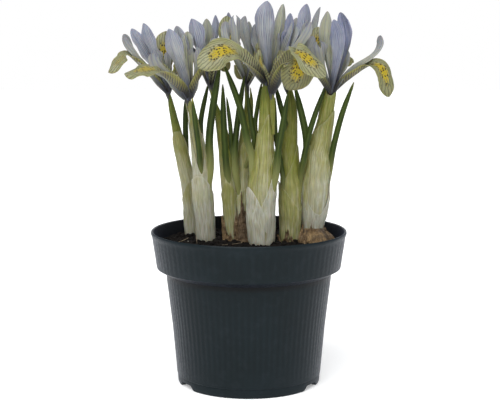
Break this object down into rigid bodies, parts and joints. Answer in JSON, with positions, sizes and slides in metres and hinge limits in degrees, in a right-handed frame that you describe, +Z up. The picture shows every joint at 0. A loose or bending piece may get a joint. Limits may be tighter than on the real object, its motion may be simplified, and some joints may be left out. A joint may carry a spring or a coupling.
{
  "type": "potted dwarf iris",
  "caption": "Clump of dwarf irises with pale blue standards and yellow spotted falls, growing in a round dark green nursery pot.",
  "frame": {"origin": "middle of the pot's underside, on the surface it stands on", "axes": "+Z up along the pot's axis; the front of the clump, as pictured, faces -Y and its right is +X"},
  "size_m": [0.1556, 0.1096, 0.2133],
  "materials": {
    "pot_plastic": "satin, finely fluted",
    "soil": "crumbly, damp",
    "bulb_tunic": "dry netted skin",
    "sheath": "papery, cream at the foot and green above",
    "leaf": "satin",
    "petal": "soft, finely veined",
    "fall_petal": "soft, veined and spotted"
  },
  "bodies": {
    "root": {"bulb_d": "bulb_tunic", "bulb_g": "bulb_tunic", "flower_1_crown": "petal", "flower_1_fall_a": "fall_petal", "flower_1_fall_b": "fall_petal", "flower_1_fall_c": "fall_petal", "flower_2_crown": "petal", "flower_2_fall_a": "fall_petal", "flower_2_fall_b": "fall_petal", "flower_2_fall_c": "fall_petal", "flower_3_crown": "petal", "flower_3_fall_a": "fall_petal", "flower_3_fall_b": "fall_petal", "flower_3_fall_c": "fall_petal", "flower_4_crown": "petal", "flower_4_fall_a": "fall_petal", "flower_4_fall_b": "fall_petal", "flower_4_fall_c": "fall_petal", "flower_5_crown": "petal", "flower_5_fall_a": "fall_petal", "flower_5_fall_b": "fall_petal", "flower_5_fall_c": "fall_petal", "flower_6_crown": "petal", "flower_6_fall_a": "fall_petal", "flower_6_fall_b": "fall_petal", "flower_6_fall_c": "fall_petal", "flower_7_crown": "petal", "flower_7_fall_a": "fall_petal", "flower_7_fall_b": "fall_petal", "flower_7_fall_c": "fall_petal", "flower_8_crown": "petal", "flower_8_fall_a": "fall_petal", "flower_8_fall_b": "fall_petal", "flower_8_fall_c": "fall_petal", "leaf_a_right": "leaf", "leaf_b_back": "leaf", "leaf_b_front": "leaf", "leaf_b_right": "leaf", "leaf_c_front": "leaf", "leaf_c_right": "leaf", "leaf_d_front": "leaf", "leaf_d_left": "leaf", "leaf_e_left_back": "leaf", "leaf_e_left_long": "leaf", "leaf_e_right": "leaf", "leaf_f_cross": "leaf", "leaf_f_left": "leaf", "leaf_f_right": "leaf", "leaf_g_left": "leaf", "leaf_g_right": "leaf", "pot": "pot_plastic", "shoot_a": "sheath", "shoot_b": "sheath", "shoot_c": "sheath", "shoot_d": "sheath", "shoot_e": "sheath", "shoot_e_side": "sheath", "shoot_f": "sheath", "shoot_g": "sheath", "soil": "soil"}
  },
  "joints": []
}
